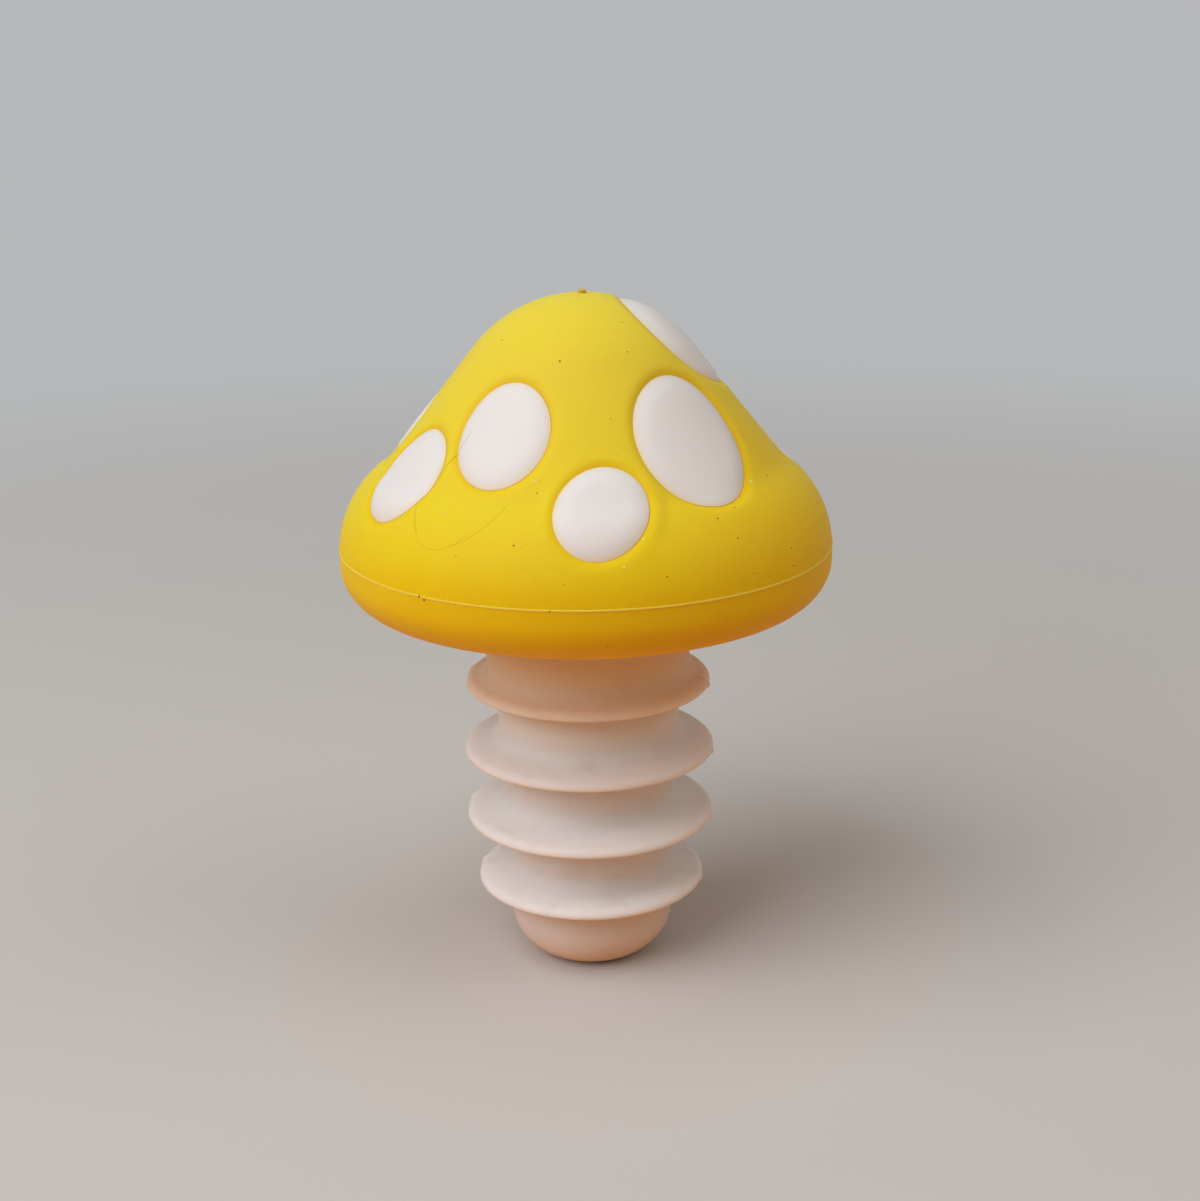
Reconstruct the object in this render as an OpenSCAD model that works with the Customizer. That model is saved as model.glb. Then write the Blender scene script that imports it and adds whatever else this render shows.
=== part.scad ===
// Silicone stopper for a wine bottle: a mushroom-shaped grip on a ribbed plug.
// A soft white body carries the ribs and a rounded head with raised pads.
// A yellow cap is drawn over that head, and the pads show through its oval windows.
// Millimetres, +Z up, origin at the middle of the foot.

/* [Cap] */
// Widest diameter of the cap, at the belt
cap_d = 44; // [34:0.5:56]
// Height of the cap, from its underside to the crown
cap_h = 27.1; // [22:0.1:34]
// Wall of the cap
cap_wall = 2.2; // [1.4:0.1:3]
// Rounding between the underside and the belt
belly_round = 3.8; // [3.2:0.1:6]
// Straight belt along the mould line
belt_h = 0.75; // [0.2:0.05:2]
// Rounding of the shoulder above the belt
shoulder_round = 9.3; // [7:0.1:11]
// How far the shoulder turns up before the flank begins, in degrees
shoulder_sweep = 58; // [48:1:66]
// Soft inward bend between the shoulder and the flank
waist_round = 5.4; // [3:0.1:8]
// Rounding of the crown
crown_round = 12.3; // [10:0.1:13]
// Diameter of the moulding nub on the crown
nub_d = 0.8; // [0.4:0.1:1.6]
// Height of the moulding nub
nub_h = 0.3; // [0.1:0.05:0.6]

/* [Windows and pads] */
// Width of the rim that turns down round each window
rim_w = 0.6; // [0.3:0.1:1]
// Depth of that rim
rim_depth = 0.4; // [0.2:0.05:0.8]
// How far a pad's face stands proud of the cap
pad_rise = 0.2; // [0:0.05:0.5]
// Bevel round a pad's face
pad_edge = 0.6; // [0.2:0.1:1]
// Gap between a pad and the edge of its window
pad_gap = 0.12; // [0.05:0.01:0.3]
// Angle of the pads' outward axis above the horizontal
pad_tilt = 40; // [34:1:46]

/* [Stem] */
// Length of the stem, from the foot to the cap's underside
stem_l = 34.9; // [33:0.1:44]
// Diameter of the neck between the top rib and the cap
neck_d = 18.6; // [17:0.1:20.5]
// Diameters of the shank between the ribs, from the bottom up
shank_d = [14.7, 15.4, 16.6]; // [12:0.1:17]
// Diameter of the blunt tip
tip_d = 15; // [13:0.1:17]
// Rounding of the tip
tip_round = 4.6; // [3.5:0.1:6]
// Diameter of the flat foot
foot_d = 8; // [6.5:0.1:9.5]

/* [Ribs] */
// Diameters of the four ribs, from the bottom up
rib_d = [21, 22.8, 23, 22.3]; // [19:0.1:28]
// Height of the lowest rib's underside
rib_z = 7.3; // [6.5:0.1:8.5]
// Spacing of the ribs
rib_pitch = 6.4; // [5.4:0.1:6.8]
// Thickness of a rib at its rim
rib_t = 1; // [0.8:0.1:1.6]
// Rounding of the rim's two edges
rib_edge = 0.3; // [0.1:0.05:0.35]
// Fillet where a rib grows out of the shank
rib_root = 1.5; // [0.6:0.1:1.7]

/* [Fit] */
// Gap between the body's head and the cap drawn over it
fit_gap = 0.05; // [0.02:0.01:0.2]

/* [Hidden] */
$fn = 96;

// Each pad: azimuth, height above the cap's underside, half width, half height, turn
// Azimuth 0 faces -Y and grows towards +X.
pads = [
    [-61, 13.1, 4.2, 4.8, 22],
    [-30, 17.3, 4.2, 5.0, 8],
    [4, 12.1, 3.8, 4.4, -30],
    [39, 16.5, 5.2, 6.3, -8],
    [95, 23.6, 5.8, 5.6, 0],
    [106, 12.6, 4.2, 4.6, 12],
    [152, 16.8, 4.9, 4.5, 0],
    [-160, 22.6, 4.2, 4.2, 0],
    [-154, 12.0, 4.4, 4.6, -15],
    [-107, 15.5, 4.6, 4.7, 0],
];

cap_r = cap_d / 2;
cap_base = stem_l;
crown_z = cap_base + cap_h;

// Centres of the outline's arcs, as [radius, height]
belly_c = [cap_r - belly_round, cap_base + belly_round];
shoulder_c = [cap_r - shoulder_round, belly_c.y + belt_h];
crown_c = [0, crown_z - crown_round];

// The flank leaves the shoulder at its sweep and touches the crown's arc
flank_start = shoulder_c + shoulder_round * [cos(shoulder_sweep), sin(shoulder_sweep)];
to_flank = flank_start - crown_c;
flank_normal = atan2(to_flank.y, to_flank.x) + acos(crown_round / norm(to_flank));
flank_out = [cos(flank_normal), sin(flank_normal)];
flank_up = [-sin(flank_normal), cos(flank_normal)];

// The waist's arc touches the shoulder's arc below and the flank above
waist_reach = crown_round + waist_round - (shoulder_c - crown_c) * flank_out;
waist_climb = sqrt((shoulder_round + waist_round) ^ 2 - waist_reach ^ 2);
waist_c = shoulder_c + waist_reach * flank_out + waist_climb * flank_up;
waist_out = (waist_c - shoulder_c) / norm(waist_c - shoulder_c);

// Points where the outer arcs meet
waist_low = shoulder_c + shoulder_round * waist_out;
waist_high = waist_c - waist_round * flank_out;
flank_end = crown_c + crown_round * flank_out;

head_inset = cap_wall + fit_gap;
nub_root = cap_wall / 2;
neck_r = neck_d / 2;
tip_c = [tip_d / 2 - tip_round, sqrt(tip_round ^ 2 - (foot_d / 2 - tip_d / 2 + tip_round) ^ 2)];

// Cutters and columns reach this far in from the cap's surface, which clears its wall at a slant
cut_depth = 2 * cap_wall;

// A flare starts this far below the cap's surface, where it's narrower than its window
flare_depth = 1.5 * rim_depth;

// Radius of the cap's outside at a height above the foot
function cap_radius(z) =
    z > flank_end.y ? sqrt(crown_round ^ 2 - (z - crown_c.y) ^ 2)
    : z > waist_high.y ? (crown_round - (z - crown_c.y) * flank_out.y) / flank_out.x
    : z > waist_low.y ? waist_c.x - sqrt(waist_round ^ 2 - (z - waist_c.y) ^ 2)
    : shoulder_c.x + sqrt(shoulder_round ^ 2 - (z - shoulder_c.y) ^ 2);

// Half section of the cap's outside, moved inwards by inset
module head_outline(inset) {
    intersection() {
        union() {
            translate(crown_c) circle(r = crown_round - inset);
            translate(shoulder_c) circle(r = shoulder_round - inset);
            translate(belly_c) circle(r = belly_round - inset);
            difference() {
                polygon([
                    [0, cap_base + inset],
                    [belly_c.x, cap_base + inset],
                    [cap_r - inset, belly_c.y],
                    [cap_r - inset, shoulder_c.y],
                    shoulder_c + (shoulder_round - inset) * waist_out,
                    waist_c - (waist_round + inset) * flank_out,
                    crown_c + (crown_round - inset) * flank_out,
                    [0, crown_z - inset],
                ]);
                translate(waist_c) circle(r = waist_round + inset);
            }
        }
        translate([0, cap_base + inset]) square([cap_r, cap_h]);
    }
}

// Moves to a pad's place on the cap, with +Z pointing out of the surface
module at_pad(pad) {
    z = cap_base + pad[1];
    rotate([0, 0, pad[0]])
        translate([0, -cap_radius(z), z])
            rotate([90 - pad_tilt, 0, 0])
                rotate([0, 0, pad[4]])
                    children();
}

// Oval column through the cap's wall, smaller than the pad's outline by gap
module oval(pad, gap, depth, height) {
    translate([0, 0, -depth])
        linear_extrude(height = depth + height)
            scale([pad[2] - gap, pad[3] - gap]) circle(r = 1);
}

// How far the cap's surface falls away from a pad's own plane at the pad's sides
function side_fall(pad) = pad[2] ^ 2 * cos(pad_tilt) / (2 * cap_radius(cap_base + pad[1]));

// Flared mouth of a window: its edge lies rim_w outside the oval at the cap's surface
module flare(pad) {
    fall = side_fall(pad);
    spread = rim_w / (rim_depth * (pad[3] + rim_w));
    low = fall + flare_depth;
    scale([(pad[2] + rim_w) / (1 - spread * fall), pad[3] + rim_w, 1])
        translate([0, 0, -low])
            cylinder(h = low + cap_wall, r1 = 1 - spread * low, r2 = 1 + spread * cap_wall);
}

// Oval column with a bevelled top: its edge lies pad_edge inside the oval at the pad's face
module bevelled_oval(pad) {
    inset = pad_gap + pad_edge;
    spread = 1 / (pad[3] - inset);
    intersection() {
        oval(pad, pad_gap, cut_depth, cap_wall);
        translate([0, 0, -cut_depth])
            scale([(pad[2] - inset) / (1 + spread * side_fall(pad)), pad[3] - inset, 1])
                cylinder(
                    h = cut_depth + cap_wall,
                    r1 = 1 + spread * (cut_depth + pad_rise),
                    r2 = 1 + spread * (pad_rise - cap_wall)
                );
    }
}

module cap() {
    color("gold")
        difference() {
            union() {
                rotate_extrude()
                    difference() {
                        head_outline(0);
                        head_outline(cap_wall);
                        square([neck_r + fit_gap, cap_base + cut_depth]);
                    }
                translate([0, 0, crown_z - nub_root]) cylinder(h = nub_h + nub_root, d = nub_d);
            }
            for (pad = pads)
                at_pad(pad) {
                    oval(pad, 0, cut_depth, cut_depth);
                    flare(pad);
                }
        }
}

// Half section of one rib: rounded rim, flat faces and a fillet at each root
module rib_outline(z, rim_r, low_r, high_r) {
    square_r = rim_r - rib_edge;
    translate([0, z]) square([square_r, rib_t]);
    translate([0, z + rib_edge]) square([rim_r, rib_t - 2 * rib_edge]);
    translate([square_r, z + rib_edge]) circle(r = rib_edge);
    translate([square_r, z + rib_t - rib_edge]) circle(r = rib_edge);
    difference() {
        translate([0, z - rib_root]) square([low_r + rib_root, rib_root]);
        translate([low_r + rib_root, z - rib_root]) circle(r = rib_root);
    }
    difference() {
        translate([0, z + rib_t]) square([high_r + rib_root, rib_root]);
        translate([high_r + rib_root, z + rib_t + rib_root]) circle(r = rib_root);
    }
}

// Half section of the stem: blunt tip, stepped shank and neck
module stem_outline() {
    widths = concat([tip_d], shank_d, [neck_d]);
    intersection() {
        translate(tip_c) circle(r = tip_round);
        square([tip_d, tip_c.y]);
    }
    polygon([[0, 0], [foot_d / 2, 0], [tip_d / 2, tip_c.y], [tip_d / 2, rib_z], [0, rib_z]]);
    last = len(rib_d) - 1;
    for (i = [0 : last]) {
        z = rib_z + i * rib_pitch;
        top = i < last ? z + rib_pitch : cap_base + cut_depth;
        translate([0, z]) square([widths[i + 1] / 2, top - z]);
        rib_outline(z, rib_d[i] / 2, widths[i] / 2, widths[i + 1] / 2);
    }
}

module body() {
    color("white")
        union() {
            rotate_extrude() {
                head_outline(head_inset);
                stem_outline();
            }
            intersection() {
                rotate_extrude() head_outline(-pad_rise);
                union() {
                    for (pad = pads)
                        at_pad(pad) bevelled_oval(pad);
                }
            }
        }
}

cap();
body();
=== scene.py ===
import math

import bpy
import numpy as np
from mathutils import Matrix, Vector


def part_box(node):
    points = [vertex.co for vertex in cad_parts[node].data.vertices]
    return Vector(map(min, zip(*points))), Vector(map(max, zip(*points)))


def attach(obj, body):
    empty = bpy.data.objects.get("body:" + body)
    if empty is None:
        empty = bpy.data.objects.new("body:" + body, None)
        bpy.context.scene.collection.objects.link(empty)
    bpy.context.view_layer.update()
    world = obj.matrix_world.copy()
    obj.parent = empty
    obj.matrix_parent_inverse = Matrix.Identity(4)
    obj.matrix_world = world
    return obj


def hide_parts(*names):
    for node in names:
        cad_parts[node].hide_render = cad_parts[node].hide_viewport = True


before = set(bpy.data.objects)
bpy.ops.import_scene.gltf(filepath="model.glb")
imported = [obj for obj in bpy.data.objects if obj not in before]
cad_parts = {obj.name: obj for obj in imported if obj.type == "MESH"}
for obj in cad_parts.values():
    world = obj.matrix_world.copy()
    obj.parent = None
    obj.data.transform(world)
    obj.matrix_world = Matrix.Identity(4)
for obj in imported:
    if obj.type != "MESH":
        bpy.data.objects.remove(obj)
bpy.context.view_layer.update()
mm = 0.001  # lengths below are in millimetres
weldGap = 0.0002  # corners nearer than this are one
sliverWidth = 0.0005  # faces thinner than this are left out
leastWeight = 0.001  # a smaller one moves nothing
smoothAngle = 40  # degrees; a sharper edge stays crisp

capLow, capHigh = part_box("cap")

# the cap's outline, as arcs that meet smoothly
cap = {
    "radius": capHigh.x / mm,
    "base": capLow.z / mm,
    "wall": 2.2,
    "bellyRound": 3.8,
    "beltHeight": 0.75,
    "shoulderRound": 9.3,
    "shoulderSweep": 58,
    "waistRound": 5.4,
    "crownRound": 12.3,
    "nubHeight": 0.3,
    "nubWidth": 0.7,
    "nubSides": 11,
    "nubRagged": 0.07,
    "beadRise": 0.55,  # the mould line, above the top of the belt
    "beadWidth": 0.22,
    "beadHeight": 0.065,
    "ringGap": 0.3,  # between the mesh's rings
    "hiddenRingGap": 1.5,
    "lowerRingGap": 1,
    "turns": 320,
    "holeGap": 0.05,  # clearance round the neck and over the head
}


def capShape():  # centres and tangent directions of the outline's arcs
    radius, base = cap["radius"], cap["base"]
    crownTop = capHigh.z / mm - cap["nubHeight"]
    belly = Vector((radius - cap["bellyRound"], base + cap["bellyRound"]))
    shoulder = Vector((radius - cap["shoulderRound"], belly.y + cap["beltHeight"]))
    crown = Vector((0, crownTop - cap["crownRound"]))
    sweep = math.radians(cap["shoulderSweep"])
    flankStart = shoulder + cap["shoulderRound"] * Vector((math.cos(sweep), math.sin(sweep)))
    toFlank = flankStart - crown
    flankTurn = math.atan2(toFlank.y, toFlank.x) + math.acos(cap["crownRound"] / toFlank.length)
    flankOut = Vector((math.cos(flankTurn), math.sin(flankTurn)))
    flankUp = Vector((-flankOut.y, flankOut.x))
    reach = cap["crownRound"] + cap["waistRound"] - (shoulder - crown).dot(flankOut)
    climb = math.sqrt((cap["shoulderRound"] + cap["waistRound"]) ** 2 - reach**2)
    waist = shoulder + reach * flankOut + climb * flankUp
    waistOut = (waist - shoulder).normalized()
    return {
        "belly": belly,
        "shoulder": shoulder,
        "crown": crown,
        "waist": waist,
        "flankTurn": math.degrees(flankTurn),
        "waistTurn": math.degrees(math.atan2(waistOut.y, waistOut.x)),
        "waistLow": (shoulder + cap["shoulderRound"] * waistOut).y,
        "waistHigh": (waist - cap["waistRound"] * flankOut).y,
        "flankEnd": (crown + cap["crownRound"] * flankOut).y,
        "flankOut": flankOut,
    }


shape = capShape()


def capRadius(z):  # outside radius at a height
    crown, waist, shoulder, out = shape["crown"], shape["waist"], shape["shoulder"], shape["flankOut"]
    if z > shape["flankEnd"]:
        return math.sqrt(max(cap["crownRound"] ** 2 - (z - crown.y) ** 2, 0))
    if z > shape["waistHigh"]:
        return (cap["crownRound"] - (z - crown.y) * out.y) / out.x
    if z > shape["waistLow"]:
        return waist.x - math.sqrt(cap["waistRound"] ** 2 - (z - waist.y) ** 2)
    return shoulder.x + math.sqrt(cap["shoulderRound"] ** 2 - (z - shoulder.y) ** 2)


def arc(centre, radius, start, end, gap):  # points along an arc, both ends included
    count = max(2, math.ceil(abs(math.radians(end - start)) * radius / gap))
    turns = [math.radians(start + (end - start) * i / count) for i in range(count + 1)]
    return [(centre[0] + radius * math.cos(t), centre[1] + radius * math.sin(t)) for t in turns]


def straight(start, end, gap):  # points along a line, without its ends
    count = max(1, math.ceil(math.dist(start, end) / gap))
    return [tuple(a + (b - a) * i / count for a, b in zip(start, end)) for i in range(1, count)]


def capOutline(inset, gap, bead=False):  # from the underside up to the crown
    belly, shoulder, waist, crown = (shape[k] for k in ("belly", "shoulder", "waist", "crown"))
    shoulderRound = cap["shoulderRound"] - inset
    points = arc(belly, cap["bellyRound"] - inset, -90, 0, gap)
    if bead:
        middle = math.degrees(math.asin(cap["beadRise"] / shoulderRound))
        half = math.degrees(cap["beadWidth"] / 2 / shoulderRound)
        points += arc(shoulder, shoulderRound, 0, middle - half, gap)
        beadRound = shoulderRound + cap["beadHeight"]
        points += arc(shoulder, beadRound, middle - half / 2, middle + half / 2, gap / 4)
        points += arc(shoulder, shoulderRound, middle + half, shape["waistTurn"], gap)
    else:
        points += arc(shoulder, shoulderRound, 0, shape["waistTurn"], gap)
    waistTurn, flankTurn = shape["waistTurn"], shape["flankTurn"]
    points += arc(waist, cap["waistRound"] + inset, 180 + waistTurn, 180 + flankTurn, gap)[1:]
    top = arc(crown, cap["crownRound"] - inset, flankTurn, 90, gap)
    return points + straight(points[-1], top[0], gap) + top


def deselectAll():
    if bpy.context.mode != "OBJECT":
        bpy.ops.object.mode_set(mode="OBJECT")
    bpy.ops.object.select_all(action="DESELECT")


def makeActive(piece):
    deselectAll()
    piece.select_set(True)
    bpy.context.view_layer.objects.active = piece


def lathe(name, outline, turns):  # draws the half section point by point, then spins it
    deselectAll()
    bpy.ops.mesh.primitive_plane_add(size=mm)
    piece = bpy.context.object
    piece.name = piece.data.name = name
    bpy.ops.object.mode_set(mode="EDIT")
    bpy.ops.mesh.merge(type="CENTER")
    x, z = outline[0]
    bpy.ops.transform.translate(value=(x * mm, 0, z * mm))
    for before, after in zip(outline, outline[1:]):
        step = ((after[0] - before[0]) * mm, 0, (after[1] - before[1]) * mm)
        bpy.ops.mesh.extrude_region_move(TRANSFORM_OT_translate={"value": step})
    bpy.ops.mesh.select_all(action="SELECT")
    bpy.ops.mesh.spin(steps=turns, angle=math.tau, center=(0, 0, 0), axis=(0, 0, 1))
    bpy.ops.mesh.select_all(action="SELECT")
    bpy.ops.mesh.remove_doubles(threshold=weldGap * mm)
    bpy.ops.mesh.normals_make_consistent(inside=False)
    bpy.ops.object.mode_set(mode="OBJECT")
    return piece


def applyModifiers(piece):
    makeActive(piece)
    for modifier in list(piece.modifiers):
        bpy.ops.object.modifier_apply(modifier=modifier.name)


def combine(piece, tool, operation):
    modifier = piece.modifiers.new("join", "BOOLEAN")
    modifier.operation = operation
    modifier.solver = "EXACT"
    modifier.object = tool
    applyModifiers(piece)
    bpy.data.objects.remove(tool)


def push(piece, name, weight, height):  # moves the surface out where the weight says
    group = piece.vertex_groups.new(name=name)
    for index in np.nonzero(weight > leastWeight)[0]:
        group.add([int(index)], float(weight[index]), "REPLACE")
    move = piece.modifiers.new(name, "DISPLACE")
    move.vertex_group = name
    move.mid_level = 0
    move.strength = height * mm
    applyModifiers(piece)


def joinAll(parts, name):
    deselectAll()
    for part in parts:
        part.select_set(True)
    bpy.context.view_layer.objects.active = parts[0]
    bpy.ops.object.join()
    joined = bpy.context.object
    joined.name = joined.data.name = name
    return joined


# the oval windows and the pads in them
windows = {
    "tilt": 40,  # degrees that a window's axis climbs
    "rimWidth": 1.0,  # where the skin turns down to the window
    "rimDepth": 0.3,
    "fineMiddle": 0.4,  # a finer mesh runs round each window, this far outside its edge
    "fineBand": 1.3,
    "columnSides": 128,
    "gap": 0.02,  # between a window and its pad
    "padShift": -0.05,  # degrees round the cap, so that the gap opens on one side
    "padRise": 0.08,  # a pad's face above the cap's surface
    "padSink": 0.27,  # its edge below
    "padRound": 1.8,  # width of its shoulder
    "padDepth": 3.2,
    "bridges": {0: 0.36, 2: 0.36, 5: 0.14, 8: 0.36},  # how far the pads that span the waist lift the skin
    "bridgeSpan": 2.4,
    "bridgeReach": 1.8,
    "rings": [1, 0.985, 0.965, 0.94, 0.91, 0.875, 0.835, 0.79, 0.73, 0.65, 0.55, 0.43, 0.3, 0.15],
}
halfDepth = cap["wall"] * 2  # a window's column reaches this far either side of the surface

# azimuth, height above the cap's underside, half width, half height, turn
pads = [
    (-61, 13.1, 4.2, 4.8, 22),
    (-30, 17.3, 4.2, 5.0, 8),
    (4, 12.1, 3.8, 4.4, -30),
    (39, 16.5, 5.2, 6.3, -8),
    (95, 23.6, 5.8, 5.6, 0),
    (106, 12.6, 4.2, 4.6, 12),
    (152, 16.8, 4.9, 4.5, 0),
    (-160, 22.6, 4.2, 4.2, 0),
    (-154, 12.0, 4.4, 4.6, -15),
    (-107, 15.5, 4.6, 4.7, 0),
]


def padPlace(pad, shift=0):  # +Z slants up and out of the cap at the pad's middle
    azimuth, height, _, _, turn = pad
    z = cap["base"] + height
    return (
        Matrix.Rotation(math.radians(azimuth + shift), 4, "Z")
        @ Matrix.Translation(Vector((0, -capRadius(z), z)) * mm)
        @ Matrix.Rotation(math.radians(90 - windows["tilt"]), 4, "X")
        @ Matrix.Rotation(math.radians(turn), 4, "Z")
    )


def distanceOutside(points, pad):  # from a window's edge, and the height over its plane
    inverse = np.array(padPlace(pad).inverted())
    local = (points @ inverse[:3, :3].T + inverse[:3, 3]) / mm
    x, y = local[:, 0] / pad[2], local[:, 1] / pad[3]
    rho = np.sqrt(x**2 + y**2)
    slope = np.sqrt((x / pad[2]) ** 2 + (y / pad[3]) ** 2) / np.maximum(rho, 1e-6)
    return (rho - 1) / np.maximum(slope, 1e-6), local[:, 2]


def nearestWindow(points):  # distance from the nearest edge, below 0 within a window
    nearest = np.full(len(points), math.inf)
    for pad in pads:
        distance, height = distanceOutside(points, pad)
        distance[np.abs(height) > halfDepth] = math.inf
        nearest = np.minimum(nearest, distance)
    return nearest


def bridgeHeight(points):  # how far the skin is lifted where a pad spans the waist
    z = points[:, 2] / mm
    waist = (shape["waistLow"] + shape["waistHigh"]) / 2
    along = np.exp(-(((z - waist) / windows["bridgeSpan"]) ** 2))
    reach = np.zeros(len(points))
    for index, lift in windows["bridges"].items():
        distance, height = distanceOutside(points, pads[index])
        near = np.clip(1 - distance / windows["bridgeReach"], 0, 1) * (np.abs(height) < halfDepth)
        reach = np.maximum(reach, lift * near * near * (3 - 2 * near))
    return along * reach * onOutside(points)


def onOutside(points):  # true for points on the cap's outer face
    radius = np.hypot(points[:, 0], points[:, 1]) / mm
    outer = [capRadius(z) if z > shape["shoulder"].y else cap["radius"] for z in points[:, 2] / mm]
    return radius > np.array(outer) - cap["wall"] / 3


def vertexPoints(mesh):
    flat = np.empty(len(mesh.vertices) * 3)
    mesh.vertices.foreach_get("co", flat)
    return flat.reshape(-1, 3)


def makeNub():  # what the moulding left on the crown, a little ragged
    deselectAll()
    top = shape["crown"].y + cap["crownRound"]
    bpy.ops.mesh.primitive_cylinder_add(
        vertices=cap["nubSides"],
        radius=cap["nubWidth"] / 2 * mm,
        depth=2 * cap["nubHeight"] * mm,
        location=(0, 0, top * mm),
    )
    nub = bpy.context.object
    bpy.ops.object.mode_set(mode="EDIT")
    bpy.ops.mesh.subdivide(number_cuts=1)
    bpy.ops.transform.vertex_random(offset=cap["nubRagged"] * mm, seed=4)
    bpy.ops.object.mode_set(mode="OBJECT")
    bpy.ops.object.transform_apply(location=True, rotation=True, scale=True)
    return nub


def refineRims(piece):  # a finer mesh round the windows
    faces = piece.data.polygons
    flat = np.empty(len(faces) * 3)
    faces.foreach_get("center", flat)
    centres = flat.reshape(-1, 3)
    near = np.abs(nearestWindow(centres) - windows["fineMiddle"]) < windows["fineBand"]
    makeActive(piece)
    bpy.ops.object.mode_set(mode="EDIT")
    bpy.ops.mesh.select_mode(type="FACE")
    bpy.ops.mesh.select_all(action="DESELECT")
    bpy.ops.object.mode_set(mode="OBJECT")
    faces.foreach_set("select", near & onOutside(centres))
    bpy.ops.object.mode_set(mode="EDIT")
    bpy.ops.mesh.subdivide(number_cuts=1)
    bpy.ops.mesh.select_mode(type="VERT")
    bpy.ops.object.mode_set(mode="OBJECT")


def makeColumn(pad):  # what a window is cut with
    sides = windows["columnSides"]
    bpy.ops.mesh.primitive_cylinder_add(vertices=sides, radius=mm, depth=2 * halfDepth * mm)
    column = bpy.context.object
    column.data.transform(padPlace(pad) @ Matrix.Diagonal((pad[2], pad[3], 1, 1)))
    return column


def makeCap():
    outside = capOutline(0, cap["ringGap"], bead=True)
    inside = capOutline(cap["wall"], cap["hiddenRingGap"])
    hole = stem["neck"] / 2 + cap["holeGap"]
    low, high = cap["base"], cap["base"] + cap["wall"]
    underside = straight((hole, low), outside[0], cap["lowerRingGap"])
    outline = inside[::-1] + [(hole, high), (hole, low)] + underside + outside
    piece = lathe("capSkin", outline, cap["turns"])
    combine(piece, makeNub(), "UNION")

    refineRims(piece)
    points = vertexPoints(piece.data)
    distance = np.clip(nearestWindow(points) / windows["rimWidth"], 0, 1)
    rim = np.where(onOutside(points), (1 - distance) ** 2, 0)
    push(piece, "bridge", bridgeHeight(points), 1)
    push(piece, "rim", rim, -windows["rimDepth"])

    combine(piece, joinAll([makeColumn(pad) for pad in pads], "columns"), "DIFFERENCE")
    trimSlivers(piece)
    return piece


def trimSlivers(piece):  # the cuts leave corners on only two edges, which would split into faces of no width
    bpy.ops.object.mode_set(mode="EDIT")
    bpy.ops.mesh.select_mode(type="VERT")
    bpy.ops.mesh.select_all(action="SELECT")
    bpy.ops.mesh.dissolve_degenerate(threshold=sliverWidth * mm)
    bpy.ops.mesh.select_all(action="DESELECT")
    bpy.ops.object.mode_set(mode="OBJECT")

    edges = piece.data.edges
    ends = np.empty(2 * len(edges), dtype=np.int32)
    edges.foreach_get("vertices", ends)
    uses = np.bincount(ends, minlength=len(piece.data.vertices))
    piece.data.vertices.foreach_set("select", uses == 2)
    bpy.ops.object.mode_set(mode="EDIT")
    bpy.ops.mesh.dissolve_verts()
    bpy.ops.object.mode_set(mode="OBJECT")

    triangles = piece.modifiers.new("triangles", "TRIANGULATE")
    triangles.min_vertices = 5
    applyModifiers(piece)


def padLift(share, pad):  # 0 at the edge to 1 on the face, round at the shoulder
    distance = (1 - share) * (pad[2] + pad[3]) / 2
    lack = max(1 - distance / windows["padRound"], 0)
    return 1 - lack**2


def makePad(pad, surface):
    deselectAll()
    bpy.ops.mesh.primitive_circle_add(vertices=windows["columnSides"], radius=mm)
    piece = bpy.context.object
    place = padPlace(pad, windows["padShift"])
    bpy.ops.object.mode_set(mode="EDIT")
    rings = windows["rings"]
    for before, after in zip(rings, rings[1:]):
        bpy.ops.mesh.extrude_region_move()
        bpy.ops.transform.resize(value=(after / before, after / before, 1))
    bpy.ops.mesh.extrude_region_move()
    bpy.ops.mesh.merge(type="CENTER")
    bpy.ops.object.mode_set(mode="OBJECT")
    face = piece.vertex_groups.new(name="face")
    for vertex in piece.data.vertices:
        share = math.hypot(vertex.co.x, vertex.co.y) / mm
        face.add([vertex.index], padLift(min(share, 1), pad), "REPLACE")
    size = (pad[2] - windows["gap"], pad[3] - windows["gap"], 1, 1)
    piece.data.transform(Matrix.Diagonal(size))
    piece.matrix_world = place

    wrap = piece.modifiers.new("wrap", "SHRINKWRAP")  # the face follows the cap's surface
    wrap.target = surface
    wrap.wrap_method = "PROJECT"
    wrap.use_project_z = True
    wrap.use_negative_direction = True
    sink = piece.modifiers.new("sink", "DISPLACE")
    sink.direction = "Z"
    sink.mid_level = 0
    sink.strength = -windows["padSink"] * mm
    lift = piece.modifiers.new("lift", "DISPLACE")
    lift.direction = "Z"
    lift.vertex_group = "face"
    lift.mid_level = 0
    lift.strength = (windows["padSink"] + windows["padRise"]) * mm
    applyModifiers(piece)

    bpy.ops.object.mode_set(mode="EDIT")  # the pad's side, down into the head
    bpy.ops.mesh.select_all(action="DESELECT")
    bpy.ops.mesh.select_non_manifold()
    depth = place.to_3x3() @ Vector((0, 0, -windows["padDepth"] * mm))
    bpy.ops.mesh.extrude_region_move(TRANSFORM_OT_translate={"value": depth})
    bpy.ops.mesh.edge_face_add()
    bpy.ops.mesh.select_all(action="SELECT")
    bpy.ops.mesh.normals_make_consistent(inside=False)
    bpy.ops.object.mode_set(mode="OBJECT")
    bpy.ops.object.transform_apply(location=True, rotation=True, scale=True)
    return piece


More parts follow.
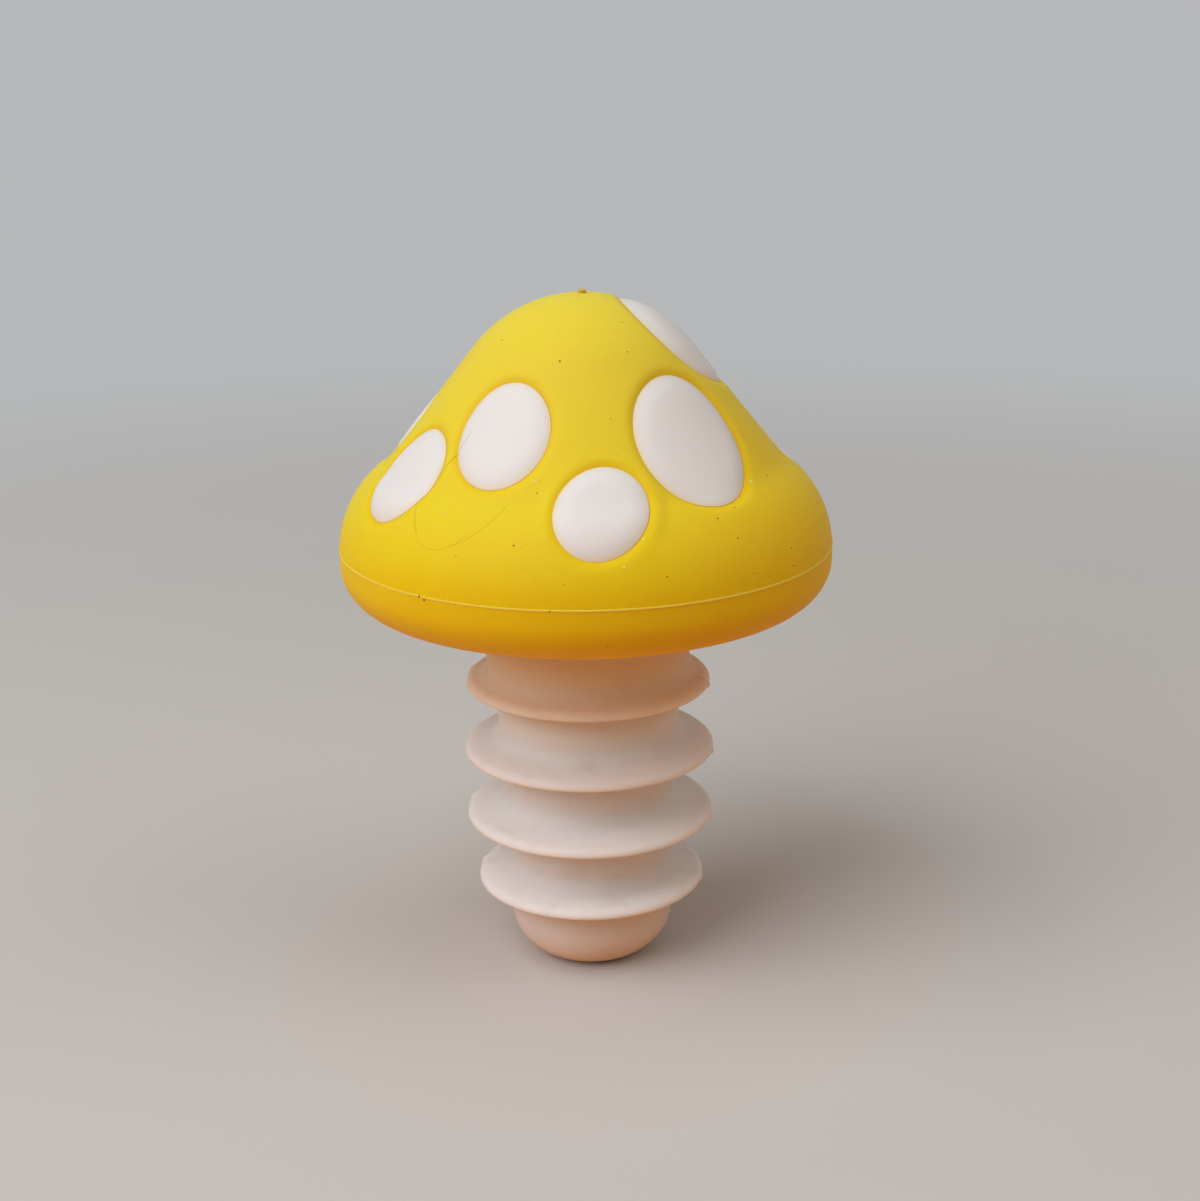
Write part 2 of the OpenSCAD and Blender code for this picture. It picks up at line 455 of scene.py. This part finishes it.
stem = {
    "neck": 18.6,
    "shanks": [15, 14.7, 15.4, 16.6, 18.6],  # tip, between the ribs, neck
    "ribs": [21, 22.8, 23, 22.3],
    "firstRib": 7.3,
    "ribPitch": 6.4,
    "rimEdge": 0.16,  # lower rounding of a rib's rim
    "rimTop": (1.0, 0.75),  # width and height of its upper rounding
    "rimTopSteps": 8,
    "topSlope": 14,  # degrees that a rib's top falls towards its rim
    "topStraight": 0.05,  # the least that stays straight
    "rootAbove": 1.7,
    "rootBelow": 1.3,
    "tipRound": 4.6,
    "foot": 8,
    "footRing": 0.6,  # a ring of the mesh under the foot, as a share of its radius
    "ringGap": 0.25,  # between the mesh's rings
    "rimRingGap": 0.1,
    "headRingGap": 0.8,
    "turns": 256,
}
# the thin fins where the mould's halves met, on the ribs' rims and on the tip
flash = {
    "azimuth": 78,
    "height": 0.16,
    "width": 0.35,
    "reach": 0.6,  # in from the smallest rib's rim
    "fade": 0.5,
    "waves": (9, 3.7),  # what makes it ragged on the tip
    "tipRadius": 5,  # none nearer the axis
    "belowCap": 2,
}


def ribOutline(z, rim, low, high):  # from the shank below, round the rim, to the shank above
    edge, below = stem["rimEdge"], stem["rootBelow"]
    across, up = stem["rimTop"]
    points = arc((low + below, z - below), below, 180, 90, stem["ringGap"])
    points += arc((rim - edge, z + edge), edge, -90, 0, stem["rimRingGap"])
    slope = math.radians(stem["topSlope"])
    last = math.atan2(up, across * math.tan(slope))  # where the rounding has turned to the slope
    steps = stem["rimTopSteps"]
    turns = [last * i / steps for i in range(1, steps + 1)]
    points += [(rim - across + across * math.cos(t), z + edge + up * math.sin(t)) for t in turns]
    x, y = points[-1]
    root = min(stem["rootAbove"], (x - high - stem["topStraight"]) / (1 - math.sin(slope)))
    run = x - high - root * (1 - math.sin(slope))
    centre = (high + root, y + run * math.tan(slope) + root * math.cos(slope))
    return points + arc(centre, root, 270 - stem["topSlope"], 180, stem["ringGap"])


def stemOutline():  # from the middle of the foot up to the head
    foot, tipRound = stem["foot"] / 2, stem["tipRound"]
    shanks = [d / 2 for d in stem["shanks"]]
    centre = shanks[0] - tipRound
    tipHeight = math.sqrt(tipRound**2 - (foot - centre) ** 2)
    start = math.degrees(math.asin(-tipHeight / tipRound))
    points = [(0, 0), (foot * stem["footRing"], 0)]
    points += arc((centre, tipHeight), tipRound, start, 0, stem["ringGap"])
    for i, rib in enumerate(stem["ribs"]):
        points += ribOutline(stem["firstRib"] + i * stem["ribPitch"], rib / 2, shanks[i], shanks[i + 1])
    return points


def flashWeight(points):  # 1 on the fins
    seam = math.radians(flash["azimuth"])
    x, y, z = (points / mm).T
    across = x * math.cos(seam) + y * math.sin(seam)
    radius = np.hypot(x, y)
    rim = np.clip((radius - stem["ribs"][0] / 2 + flash["reach"]) / flash["fade"], 0, 1)
    fast, slow = flash["waves"]
    waves = 0.5 + 0.5 * np.sin(z * fast) * np.sin(z * slow + 1)
    ragged = np.where((z < stem["firstRib"]) & (radius > flash["tipRadius"]), waves, 0)
    below = z < cap["base"] - flash["belowCap"]
    return np.exp(-((across / flash["width"]) ** 2)) * np.maximum(rim, ragged) * below


def makeBody(surface):
    gap = stem["headRingGap"]
    head = capOutline(cap["wall"] + cap["holeGap"], gap)
    corner = (stem["neck"] / 2, head[0][1])
    points = stemOutline()
    outline = points + straight(points[-1], corner, gap) + [corner] + head
    piece = lathe("bodyMoulding", outline, stem["turns"])
    push(piece, "flash", flashWeight(vertexPoints(piece.data)), flash["height"])
    combine(piece, joinAll([makePad(pad, surface) for pad in pads], "padSet"), "UNION")
    return piece


silicone = {  # what both rubbers share
    "ior": 1.42,
    "grainSizes": (0.16, 1.3),  # fine and coarse
    "grainHeight": 0.012,
    "grainStrength": 0.5,
    "glossPatch": 4,
}
yellow = {
    "colour": (0.86, 0.69, 0.004),
    "mottle": (0.82, 0.64, 0.003),
    "mottleNoise": (3.5, 4),  # size and detail
    "paintedSheen": (0.83, 0.68, 0.05),  # painted sheen: paler towards the crown, where the lamps' broad highlight falls
    "paintedSheenRange": (6, 22),  # heights above the cap's underside
    "paintedShade": (0.89, 0.51, 0.002),  # painted shade: golden low down and on the side away from the key lamp
    "paintedShadeRange": (8, 0),
    "paintedShadeAmount": 0.6,
    "shadedSidePlace": (26, -12, 44),
    "shadedSideReach": (14, 20),  # radius and blur
    "shadedSideAmount": 0.55,
    "rim": (0.82, 0.49, 0.002),  # painted shade: deeper orange beside the windows, where the skin turns down into the gap
    "rimWidth": 0.8,
    "rimShadeAmount": 0.65,
    "line": (0.84, 0.66, 0.08),  # the mould line
    "lineBlur": 0.1,
    "nub": (0.62, 0.44, 0.07),
    "nubReach": (0.49, 0.15),  # radius and blur
    "roughness": (0.48, 0.58),
    "specular": 0.12,
    "depth": 0.5,  # how far light spreads inside
    "spread": (1, 0.7, 0.2),
    "darkDust": (0.17, 0.012, 0),
    "darkDustRows": [(1.5, 0.07, 0.5), (0.9, 0.035, 0.6)],  # spacing, radius, share that shows
    "paleDust": (0.90, 0.86, 0.66),
    "paleDustRow": (1.5, 0.07, 0.35),
    "paleDustShift": (0.3, 0.2, 0.1),  # metres, so that it falls elsewhere
    "scratch": (0.30, 0.19, 0.004),
    "speckBlur": 0.03,
}
# specks stuck to the cap: azimuth, height, radius, dark or pale
specks = [
    (-38.3, 5.1, 0.1125, "darkDust"),
    (-37.0, 4.9, 0.1, "darkDust"),
    (-16.5, 9.9, 0.075, "darkDust"),
    (-13.3, 13.4, 0.0625, "darkDust"),
    (-11.9, 22.8, 0.0875, "darkDust"),
    (24.4, 23.3, 0.0625, "darkDust"),
    (33.5, 11.0, 0.075, "darkDust"),
    (52.8, 12.7, 0.1125, "paleDust"),
    (17.7, 14.8, 0.0875, "paleDust"),
    (8.1, 8.4, 0.075, "paleDust"),
]
# one long bent hair in four stretches, and a scrap of lint
# azimuth, height, heading, bend radius, length, strength
hairs = [
    (-44.9, 15.3, -101, 14, 4.8, 0.6),
    (-46.8, 11.3, -68, 4.8, 4.8, 0.45),
    (-34.9, 9.0, 13, 3.2, 5.6, 0.25),
    (-25.3, 10.8, 48, 6.2, 6.1, 0.32),
    (64.0, 15.8, -60, 0.5, 1.0, 0.5),
]
hairLine = {"halfWidth": 0.035, "blur": 0.05, "endBlur": 0.5}

white = {
    "colour": (0.81, 0.81, 0.815),
    "edge": (0.88, 0.70, 0.38),  # painted shade and the yellow's bounce light, warm orange beside the yellow
    "edgeWidth": 0.65,
    "yellowBounceAmount": 0.8,
    "underCapShade": (0.86, 0.68, 0.37),  # painted shade, warmed by the cap's yellow bounce light, on the neck under the cap
    "underCapShadeRange": (22, 30),
    "underCapShadeAmount": 0.55,
    "roughness": (0.46, 0.56),
    "specular": 0.4,
    "depth": 0.8,
    "spread": (1, 0.88, 0.78),
    "dust": (0.30, 0.24, 0.20),
    "dustRow": (1.6, 0.05, 0.3),  # spacing, radius, share that shows
    "hair": (0.42, 0.36, 0.24),
    "smudge": (0.55, 0.47, 0.40),
    "smudgeNoise": (2.6, 5),  # size and detail
    "smudgeContrast": (4, -2.3),  # gain and shift
    "smudgeAmount": 0.3,
}


def newMaterial(name, look):
    material = bpy.data.materials.new(name)
    material.use_nodes = True
    tree = material.node_tree
    shader = tree.nodes["Principled BSDF"]
    shader.inputs["IOR"].default_value = silicone["ior"]
    shader.inputs["Specular IOR Level"].default_value = look["specular"]
    shader.inputs["Subsurface Weight"].default_value = 1
    shader.inputs["Subsurface Radius"].default_value = look["spread"]
    shader.inputs["Subsurface Scale"].default_value = look["depth"] * mm
    place = tree.nodes.new("ShaderNodeTexCoord").outputs["Object"]
    return material, tree, shader, place


def feed(tree, socket, value):
    if isinstance(value, bpy.types.NodeSocket):
        tree.links.new(value, socket)
    else:
        socket.default_value = value


def maths(tree, operation, *values, clamp=False):
    made = tree.nodes.new("ShaderNodeMath")
    made.operation = operation
    made.use_clamp = clamp
    for socket, value in zip(made.inputs, values):
        feed(tree, socket, value)
    return made.outputs["Value"]


def mixColour(tree, amount, first, second):
    made = tree.nodes.new("ShaderNodeMix")
    made.data_type = "RGBA"
    sockets = [s for s in made.inputs if s.enabled]
    for socket, value in zip(sockets, (amount, first, second)):
        if isinstance(value, tuple):
            value = (*value, 1)
        feed(tree, socket, value)
    return next(s for s in made.outputs if s.enabled)


def noise(tree, place, size, detail=2):  # size of a patch in mm
    made = tree.nodes.new("ShaderNodeTexNoise")
    tree.links.new(place, made.inputs["Vector"])
    made.inputs["Scale"].default_value = 1 / (size * mm)
    made.inputs["Detail"].default_value = detail
    return made.outputs["Fac"]


def distanceTo(tree, place, point):
    made = tree.nodes.new("ShaderNodeVectorMath")
    made.operation = "DISTANCE"
    tree.links.new(place, made.inputs[0])
    made.inputs[1].default_value = point
    return made.outputs["Value"]


def fade(tree, distance, edge, blur):  # 1 within edge, 0 beyond
    return maths(tree, "MULTIPLY_ADD", distance, -1 / (blur * mm), edge / blur + 0.5, clamp=True)


def ramp(tree, length, start, end, clamp=True):  # 0 at start to 1 at end
    reach = end - start
    return maths(tree, "MULTIPLY_ADD", length, 1 / (reach * mm), -start / reach, clamp=clamp)


def heightOf(tree, place):
    made = tree.nodes.new("ShaderNodeSeparateXYZ")
    tree.links.new(place, made.inputs["Vector"])
    return made.outputs["Z"]


def attribute(tree, name):
    made = tree.nodes.new("ShaderNodeAttribute")
    made.attribute_name = name
    return made.outputs["Fac"]


def dustMask(tree, place, cell, radius, share):  # a few specks scattered through the space
    made = tree.nodes.new("ShaderNodeTexVoronoi")
    tree.links.new(place, made.inputs["Vector"])
    made.inputs["Scale"].default_value = 1 / (cell * mm)
    near = maths(tree, "LESS_THAN", made.outputs["Distance"], radius / cell)
    parts = tree.nodes.new("ShaderNodeSeparateColor")
    tree.links.new(made.outputs["Color"], parts.inputs["Color"])
    chosen = maths(tree, "LESS_THAN", parts.outputs["Red"], share)
    return maths(tree, "MULTIPLY", near, chosen)


def hairMask(tree, place, hair):  # where a ball's surface cuts the cap, for a short way
    azimuth, height, heading, bend, length, strength = hair
    middle = padPlace((azimuth, height, 0, 0, heading))
    shell = distanceTo(tree, place, middle @ Vector((0, bend * mm, 0)))
    away = maths(tree, "ABSOLUTE", maths(tree, "SUBTRACT", shell, bend * mm))
    line = fade(tree, away, hairLine["halfWidth"], hairLine["blur"])
    reach = fade(tree, distanceTo(tree, place, middle.translation), length / 2, hairLine["endBlur"])
    return maths(tree, "MULTIPLY", maths(tree, "MULTIPLY", line, reach), strength)


def silkGrain(tree, shader, place, look):  # the soft satin of moulded silicone
    fine, coarse = (noise(tree, place, size) for size in silicone["grainSizes"])
    bump = tree.nodes.new("ShaderNodeBump")
    bump.inputs["Strength"].default_value = silicone["grainStrength"]
    bump.inputs["Distance"].default_value = silicone["grainHeight"] * mm
    tree.links.new(maths(tree, "ADD", fine, coarse), bump.inputs["Height"])
    tree.links.new(bump.outputs["Normal"], shader.inputs["Normal"])
    low, high = look["roughness"]
    patch = noise(tree, place, silicone["glossPatch"])
    tree.links.new(maths(tree, "MULTIPLY_ADD", patch, high - low, low), shader.inputs["Roughness"])


def yellowTone(tree, place):  # mottled, with a painted sheen paler at the crown and painted shade golden low down and on the shaded side
    height = heightOf(tree, place)
    mottle = noise(tree, place, *yellow["mottleNoise"])
    colour = mixColour(tree, mottle, yellow["colour"], yellow["mottle"])
    # painted sheen: paler towards the crown, in place of the lamps' highlight
    high = ramp(tree, height, *(cap["base"] + z for z in yellow["paintedSheenRange"]))
    colour = mixColour(tree, high, colour, yellow["paintedSheen"])
    # painted shade: golden towards the underside and on the shaded right side
    low = ramp(tree, height, *(cap["base"] + z for z in yellow["paintedShadeRange"]))
    side = fade(tree, distanceTo(tree, place, Vector(yellow["shadedSidePlace"]) * mm), *yellow["shadedSideReach"])
    low = maths(tree, "MULTIPLY", low, yellow["paintedShadeAmount"])
    side = maths(tree, "MULTIPLY", side, yellow["shadedSideAmount"])
    return mixColour(tree, maths(tree, "MAXIMUM", low, side), colour, yellow["paintedShade"])


def mouldLine(tree, place, colour):
    middle = (shape["shoulder"].y + cap["beadRise"]) * mm
    away = maths(tree, "ABSOLUTE", maths(tree, "SUBTRACT", heightOf(tree, place), middle))
    return mixColour(tree, fade(tree, away, cap["beadWidth"] / 2, yellow["lineBlur"]), colour, yellow["line"])


def yellowDust(tree, place, colour):
    for row in yellow["darkDustRows"]:
        colour = mixColour(tree, dustMask(tree, place, *row), colour, yellow["darkDust"])
    moved = tree.nodes.new("ShaderNodeVectorMath")
    tree.links.new(place, moved.inputs[0])
    moved.inputs[1].default_value = yellow["paleDustShift"]
    paintedSheen = dustMask(tree, moved.outputs[0], *yellow["paleDustRow"])
    return mixColour(tree, paintedSheen, colour, yellow["paleDust"])


def yellowSilicone():
    material, tree, shader, place = newMaterial("yellowSilicone", yellow)
    beside = attribute(tree, "besideWindow")
    # painted shade beside the windows
    amount = maths(tree, "MULTIPLY", beside, yellow["rimShadeAmount"])
    colour = mixColour(tree, amount, yellowTone(tree, place), yellow["rim"])
    colour = mouldLine(tree, place, colour)
    for hair in hairs:
        colour = mixColour(tree, hairMask(tree, place, hair), colour, yellow["scratch"])
    colour = yellowDust(tree, place, colour)
    clear = maths(tree, "SUBTRACT", 1.0, beside)
    for azimuth, height, radius, tone in specks:
        spot = padPlace((azimuth, height, 0, 0, 0)).translation
        amount = fade(tree, distanceTo(tree, place, spot), radius, yellow["speckBlur"])
        colour = mixColour(tree, amount, colour, yellow[tone])
        clear = maths(tree, "SUBTRACT", clear, amount, clamp=True)
    tree.links.new(clear, shader.inputs["Subsurface Weight"])  # opaque at the rims and specks
    onNub = fade(tree, distanceTo(tree, place, (0, 0, capHigh.z)), *yellow["nubReach"])
    colour = mixColour(tree, onNub, colour, yellow["nub"])
    tree.links.new(colour, shader.inputs["Base Color"])
    silkGrain(tree, shader, place, yellow)
    return material


def whiteSilicone():
    material, tree, shader, place = newMaterial("whiteSilicone", white)
    edge = attribute(tree, "besideYellow")
    tree.links.new(maths(tree, "SUBTRACT", 1.0, edge), shader.inputs["Subsurface Weight"])
    height = heightOf(tree, place)
    below = maths(tree, "LESS_THAN", height, capLow.z + cap["wall"] * mm)
    # painted shade and bounce light from the cap, stronger towards the cap's underside
    underCapRise = maths(tree, "MULTIPLY", ramp(tree, height, *white["underCapShadeRange"]), below)
    amount = maths(tree, "MULTIPLY", underCapRise, white["underCapShadeAmount"])
    colour = mixColour(tree, amount, white["colour"], white["underCapShade"])
    # painted shade and bounce light from the yellow at the pads' edges
    colour = mixColour(tree, maths(tree, "MULTIPLY", edge, white["yellowBounceAmount"]), colour, white["edge"])
    patch = noise(tree, place, *white["smudgeNoise"])
    rubbed = maths(tree, "MULTIPLY_ADD", patch, *white["smudgeContrast"], clamp=True)
    amount = maths(tree, "MULTIPLY", maths(tree, "MULTIPLY", rubbed, below), white["smudgeAmount"])
    colour = mixColour(tree, amount, colour, white["smudge"])
    colour = mixColour(tree, hairMask(tree, place, hairs[0]), colour, white["hair"])
    colour = mixColour(tree, dustMask(tree, place, *white["dustRow"]), colour, white["dust"])
    tree.links.new(colour, shader.inputs["Base Color"])
    silkGrain(tree, shader, place, white)
    return material


def mark(piece, name, distance, width):  # an attribute that fades from 1 to 0 over width
    closeness = np.clip(1 - distance / width, 0, 1)
    closeness[vertexPoints(piece.data)[:, 2] < capLow.z + cap["wall"] * mm] = 0
    edge = piece.data.attributes.new(name, "FLOAT", "POINT")
    edge.data.foreach_set("value", closeness**2)


def dress(piece, material, node):
    piece.data.materials.clear()
    piece.data.materials.append(material)
    makeActive(piece)
    bpy.ops.object.shade_smooth_by_angle(angle=math.radians(smoothAngle))
    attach(piece, "root")
    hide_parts(node)


capSurface = lathe("surface", capOutline(0, cap["ringGap"]), cap["turns"])
push(capSurface, "bridge", bridgeHeight(vertexPoints(capSurface.data)), 1)
capSkin = makeCap()
print("cap made,", len(capSkin.data.polygons), "faces")
bodyMoulding = makeBody(capSurface)
bpy.data.objects.remove(capSurface)
print("body made,", len(bodyMoulding.data.polygons), "faces")
mark(bodyMoulding, "besideYellow", -nearestWindow(vertexPoints(bodyMoulding.data)), white["edgeWidth"])
mark(capSkin, "besideWindow", nearestWindow(vertexPoints(capSkin.data)), yellow["rimWidth"])
dress(capSkin, yellowSilicone(), "cap")
dress(bodyMoulding, whiteSilicone(), "body")
print("materials made")


view = {  # millimetres and degrees
    "position": (0, -169.8, 86.5),
    "down": 17.15,
    "right": 0.4,
    "roll": -0.8,
    "width": 34.07,
}

stage = {
    "backdrop": (0.47, 0.478, 0.486),
    "floor": (0.62, 0.605, 0.59),
    "floorSize": 6,  # metres
    "roughness": 0.85,
    "bounce": (0.69, 0.295, 0.095),  # the warm light that the floor gives back
    "blend": (110, 300),  # distances over which the floor turns into the backdrop
    "blendBlur": 0.3,
    "sky": (0.13, 0.11, 0.09),
    "aim": (0, 0, 35),  # what the lamps point at
}
# name, azimuth, elevation, distance and size in metres, power, colour
lamps = [
    ("key", -52, 44, 0.6, 0.55, 2.95, (1, 1, 1)),
    ("top", 25, 80, 0.7, 0.6, 0.95, (1, 1, 1)),
    ("fill", 75, 40, 0.8, 0.6, 1.2, (1, 0.93, 0.86)),
]


def makeCamera():
    data = bpy.data.cameras.new("camera")
    data.sensor_fit = "HORIZONTAL"
    data.angle = math.radians(view["width"])
    data.clip_start = 0.01
    data.clip_end = 20
    camera = bpy.data.objects.new("camera", data)
    bpy.context.collection.objects.link(camera)
    camera.matrix_world = (
        Matrix.Translation(Vector(view["position"]) * mm)
        @ Matrix.Rotation(math.radians(-view["right"]), 4, "Z")
        @ Matrix.Rotation(math.radians(90 - view["down"]), 4, "X")
        @ Matrix.Rotation(math.radians(view["roll"]), 4, "Z")
    )
    bpy.context.scene.camera = camera


def makeLamp(name, azimuth, elevation, distance, size, power, colour):
    data = bpy.data.lights.new(name, "AREA")
    data.shape = "SQUARE"
    data.color = colour
    data.size = size
    data.energy = power
    lamp = bpy.data.objects.new(name, data)
    bpy.context.collection.objects.link(lamp)
    a, e = math.radians(azimuth), math.radians(elevation)
    way = Vector((math.sin(a) * math.cos(e), -math.cos(a) * math.cos(e), math.sin(e)))
    lamp.location = Vector(stage["aim"]) * mm + way * distance
    lamp.rotation_euler = way.to_track_quat("Z", "Y").to_euler()


def seenDirectly(tree):  # 1 for rays that show the stage itself
    path = tree.nodes.new("ShaderNodeLightPath")
    seen = maths(tree, "MAXIMUM", path.outputs["Is Camera Ray"], path.outputs["Is Glossy Ray"])
    return maths(tree, "MAXIMUM", seen, path.outputs["Is Transmission Ray"])


def makeFloor():
    deselectAll()
    bpy.ops.mesh.primitive_plane_add(size=stage["floorSize"])
    floor = bpy.context.object
    floor.name = "floor"
    material = bpy.data.materials.new("paleFloor")
    material.use_nodes = True
    tree = material.node_tree
    shader = tree.nodes["Principled BSDF"]
    shader.inputs["Roughness"].default_value = stage["roughness"]
    seen = seenDirectly(tree)
    tree.links.new(mixColour(tree, seen, stage["bounce"], stage["floor"]), shader.inputs["Base Color"])
    place = tree.nodes.new("ShaderNodeTexCoord").outputs["Object"]
    away = ramp(tree, distanceTo(tree, place, (0, 0, 0)), *stage["blend"], clamp=False)
    away = maths(tree, "SMOOTH_MIN", maths(tree, "MAXIMUM", away, 0.0), 1.0, stage["blendBlur"])
    glow = tree.nodes.new("ShaderNodeEmission")
    glow.inputs["Color"].default_value = (*stage["backdrop"], 1)
    blend = tree.nodes.new("ShaderNodeMixShader")
    tree.links.new(maths(tree, "MULTIPLY", away, seen), blend.inputs[0])
    tree.links.new(shader.outputs["BSDF"], blend.inputs[1])
    tree.links.new(glow.outputs["Emission"], blend.inputs[2])
    tree.links.new(blend.outputs["Shader"], tree.nodes["Material Output"].inputs["Surface"])
    floor.data.materials.append(material)


def makeWorld():
    world = bpy.data.worlds.new("studio")
    bpy.context.scene.world = world
    world.use_nodes = True
    tree = world.node_tree
    colour = mixColour(tree, seenDirectly(tree), stage["sky"], stage["backdrop"])
    tree.links.new(colour, tree.nodes["Background"].inputs["Color"])


makeCamera()
for lamp in lamps:
    makeLamp(*lamp)
makeFloor()
makeWorld()
bpy.context.scene.view_settings.view_transform = "Standard"
print("stage made")
